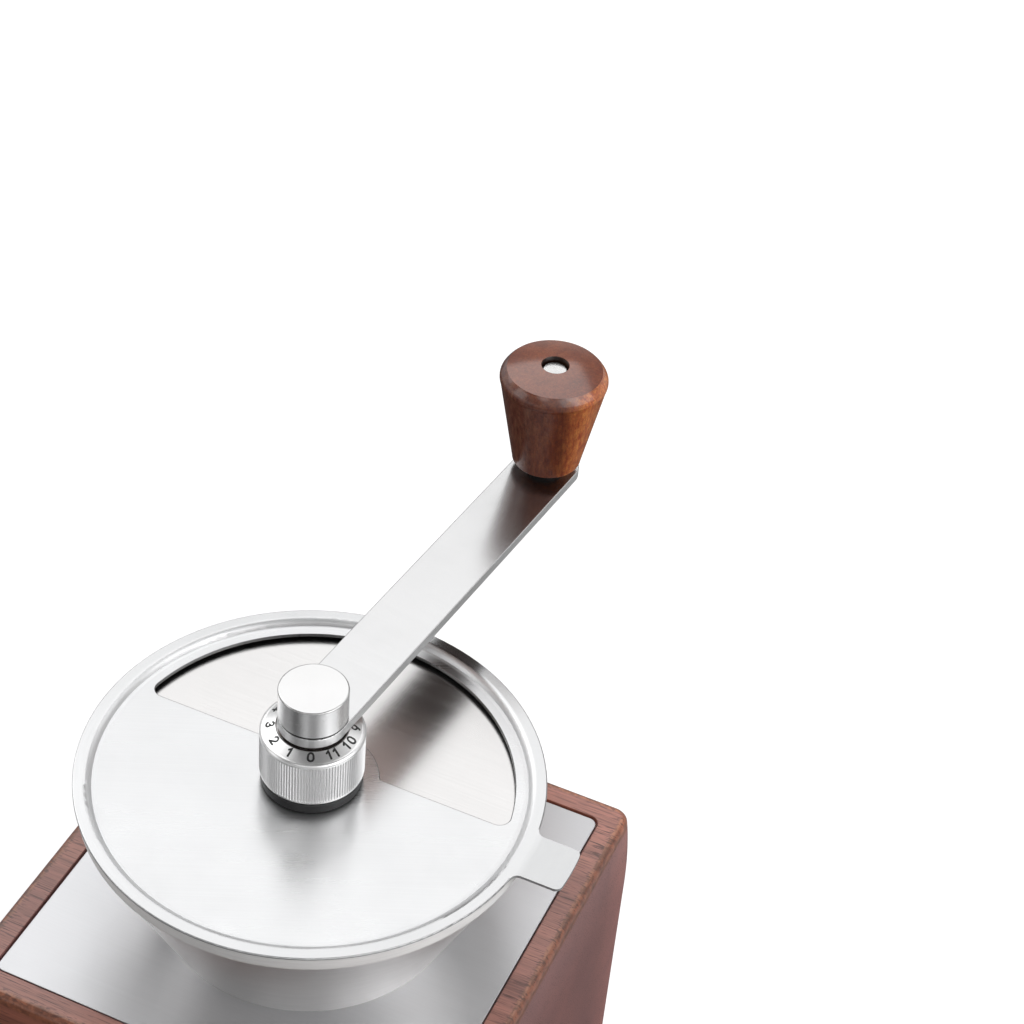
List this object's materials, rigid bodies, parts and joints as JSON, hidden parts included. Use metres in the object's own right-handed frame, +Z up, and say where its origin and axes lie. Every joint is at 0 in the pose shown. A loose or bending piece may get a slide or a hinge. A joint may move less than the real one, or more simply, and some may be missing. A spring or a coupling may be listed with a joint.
{
  "type": "hand crank coffee grinder",
  "caption": "Square wooden box coffee mill with a steel cone hopper, turning shutter lid, flat crank arm with a wooden knob, knurled grind adjuster and a drawer for the grounds.",
  "frame": {"origin": "middle of the resting face under the base pad, below the crank shaft's axis", "axes": "+Z up along the crank shaft, +X towards the lid's tab, -Y towards the drawer front"},
  "size_m": [0.1375, 0.2147, 0.2124],
  "materials": {
    "walnut": "oiled dark wood, open grain",
    "walnut_knob": "turned, lacquered dark wood",
    "plywood": "plain sanded birch",
    "brushed_plate": "line-brushed stainless sheet",
    "brushed_hopper": "spun and brushed stainless sheet",
    "brushed_lid": "brushed stainless pressing",
    "brushed_arm": "cross-brushed stainless bar",
    "satin_steel": "bead-blasted and turned stainless",
    "turned_steel": "turned steel",
    "zinc_steel": "zinc-plated steel",
    "spring_steel": "drawn wire",
    "burr_steel": "ground and hardened steel",
    "cast_housing": "die-cast, tumbled",
    "bronze": "sintered bronze",
    "black_plastic": "moulded, fine texture",
    "black_rubber": "moulded sheet",
    "magnet": "nickel-coated"
  },
  "bodies": {
    "housing": {"wood_body": "walnut", "bottom_board": "plywood", "bottom_screws": "zinc_steel", "base_pad": "black_rubber", "drawer_guides": "plywood", "drawer_magnet": "magnet", "top_plate": "brushed_plate", "hopper": "brushed_hopper", "hopper_cover": "brushed_hopper", "bearing_sleeve": "turned_steel", "sleeve_rivets": "turned_steel", "upper_bush": "bronze", "thrust_washer": "bronze", "lid_collar": "black_plastic", "outer_burr": "burr_steel", "burr_housing": "cast_housing", "grub_screws": "zinc_steel", "housing_screws": "turned_steel", "housing_nuts": "zinc_steel", "lower_bridge": "cast_housing", "bridge_screws": "zinc_steel", "lower_bush": "bronze"},
    "lid": {"lid": "brushed_lid"},
    "adjuster": {"adjuster_ring": "satin_steel"},
    "index": {"index_washer": "turned_steel"},
    "crank": {"crank_shaft": "turned_steel", "crank_arm": "brushed_arm", "cap_nut": "satin_steel", "inner_burr": "burr_steel", "burr_nut": "zinc_steel", "shaft_spring": "spring_steel", "spring_washer": "zinc_steel", "retaining_clip": "spring_steel", "knob_screw": "turned_steel", "knob_spacer": "black_plastic"},
    "knob": {"crank_knob": "walnut_knob"},
    "drawer": {"drawer_front": "walnut", "drawer_sides": "plywood", "drawer_back": "plywood", "drawer_bottom": "plywood", "drawer_knob": "walnut_knob", "drawer_screw": "zinc_steel", "strike_plate": "zinc_steel"}
  },
  "joints": [
    {"name": "crank_spin", "type": "hinge", "parent": "housing", "child": "adjuster", "pos_m": [0, 0, 0.166], "axis": [0, 0, 1], "continuous": true},
    {"name": "grind_adjust", "type": "hinge", "parent": "adjuster", "child": "index", "pos_m": [0, 0, 0.1731], "axis": [0, 0, 1], "range_deg": [-120.9, 210.8]},
    {"name": "shaft_lift", "type": "slide", "parent": "index", "child": "crank", "axis": [0, 0, 1], "range_m": [-0.00033333, 0.00058333], "deforming": ["shaft_spring"]},
    {"name": "knob_spin", "type": "hinge", "parent": "crank", "child": "knob", "pos_m": [0.0119, 0.11519, 0.195], "axis": [0, 0, 1], "continuous": true},
    {"name": "lid_turn", "type": "hinge", "parent": "housing", "child": "lid", "pos_m": [0, 0, 0.156], "axis": [0, 0, 1], "range_deg": [0, 180]},
    {"name": "drawer_slide", "type": "slide", "parent": "housing", "child": "drawer", "axis": [0, -1, 0], "range_m": [0, 0.085]}
  ],
  "couplings": [
    {"joint": "grind_adjust", "follows": "shaft_lift", "rad_per_m": 6283.2}
  ]
}
